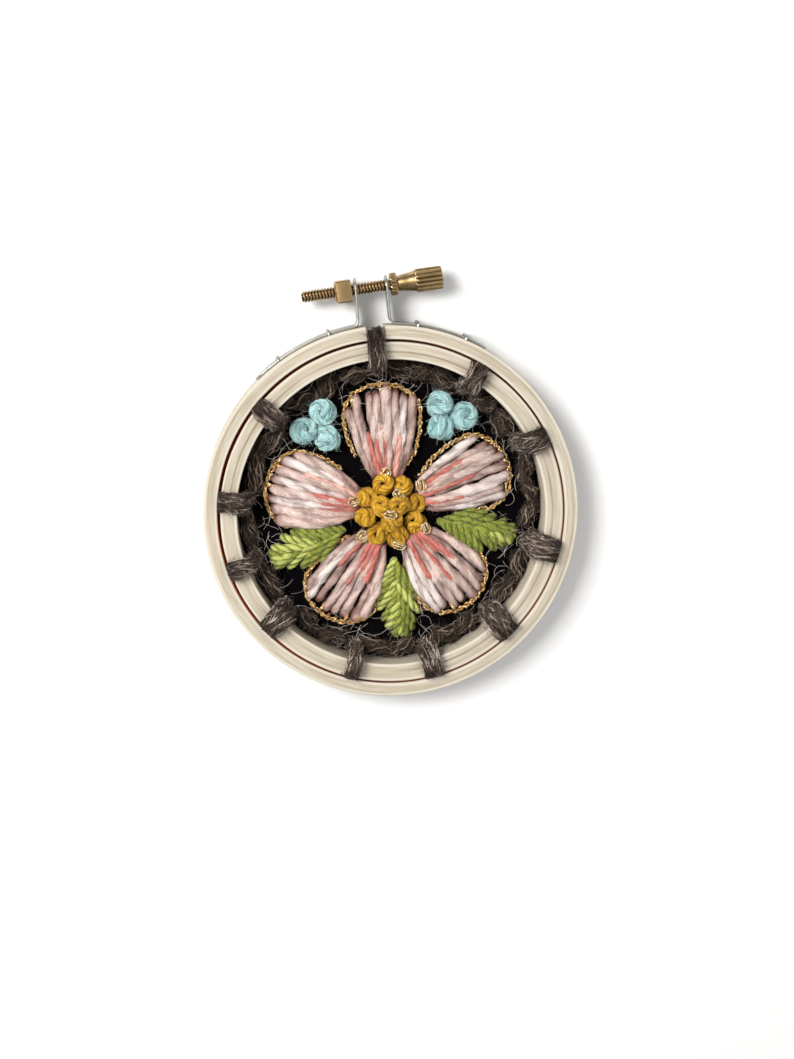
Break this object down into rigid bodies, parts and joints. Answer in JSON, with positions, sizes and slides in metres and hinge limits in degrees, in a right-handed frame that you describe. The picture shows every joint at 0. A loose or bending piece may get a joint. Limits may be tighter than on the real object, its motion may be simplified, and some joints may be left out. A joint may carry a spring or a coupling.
{
  "type": "hoop embroidery art with its wooden embroidery hoop",
  "caption": "Small round wooden embroidery hoop with a thumbscrew, holding black cloth stitched with a raised pink wool flower, leaves, knots and a roving border.",
  "frame": {"origin": "middle of the cloth's flat back, in the plane that the hoop rests on", "axes": "+Z out of the hoop's face, +Y from the middle towards the split and its thumbscrew, +X towards the screw's head"},
  "size_m": [0.0844, 0.0961, 0.0113],
  "materials": {
    "wood": "bare pale beech, smooth sanded, with fine grain along the rings",
    "cloth": "black plain-woven cotton, matte",
    "steel": "zinc-plated strip, satin",
    "brass": "aged brass, worn bright on its edges",
    "pink_wool": "thick-and-thin pale pink wool with coral accents",
    "green_wool": "plied green wool, matte and slightly fuzzy",
    "mustard_cotton": "plied mustard cotton with a soft sheen",
    "blue_wool": "light blue wool, matte and fuzzy",
    "brown_roving": "grey-brown wool roving, matte, with stray fibres"
  },
  "bodies": {
    "hoop": {"blue_knot_1": "blue_wool", "blue_knot_2": "blue_wool", "blue_knot_3": "blue_wool", "blue_knot_4": "blue_wool", "blue_knot_5": "blue_wool", "blue_knot_6": "blue_wool", "border_stitch_01": "brown_roving", "border_stitch_02": "brown_roving", "border_stitch_03": "brown_roving", "border_stitch_04": "brown_roving", "border_stitch_05": "brown_roving", "border_stitch_06": "brown_roving", "border_stitch_07": "brown_roving", "border_stitch_08": "brown_roving", "border_stitch_09": "brown_roving", "border_stitch_10": "brown_roving", "border_stitch_11": "brown_roving", "bracket_left": "steel", "bracket_right": "steel", "centre_knot_01": "mustard_cotton", "centre_knot_02": "mustard_cotton", "centre_knot_03": "mustard_cotton", "centre_knot_04": "mustard_cotton", "centre_knot_05": "mustard_cotton", "centre_knot_06": "mustard_cotton", "centre_knot_07": "mustard_cotton", "centre_knot_08": "mustard_cotton", "centre_knot_09": "mustard_cotton", "centre_knot_10": "mustard_cotton", "centre_knot_11": "mustard_cotton", "cloth": "cloth", "cloth_edge": "cloth", "inner_ring": "wood", "lashing_01": "brown_roving", "lashing_02": "brown_roving", "lashing_03": "brown_roving", "lashing_04": "brown_roving", "lashing_05": "brown_roving", "lashing_06": "brown_roving", "lashing_07": "brown_roving", "lashing_08": "brown_roving", "lashing_09": "brown_roving", "lashing_10": "brown_roving", "lashing_11": "brown_roving", "leaf_1": "green_wool", "leaf_2": "green_wool", "leaf_3": "green_wool", "nut": "brass", "outer_ring": "wood", "petal_1": "pink_wool", "petal_2": "pink_wool", "petal_3": "pink_wool", "petal_4": "pink_wool", "petal_5": "pink_wool", "staple_left_1": "steel", "staple_left_2": "steel", "staple_right_1": "steel", "staple_right_2": "steel"},
    "thumbscrew": {"screw": "brass"}
  },
  "joints": [
    {"name": "screw_turn", "type": "hinge", "parent": "hoop", "child": "thumbscrew", "pos_m": [0, 0.0505, 0.0045], "axis": [0.9986, 0.0523, 0], "continuous": true}
  ]
}
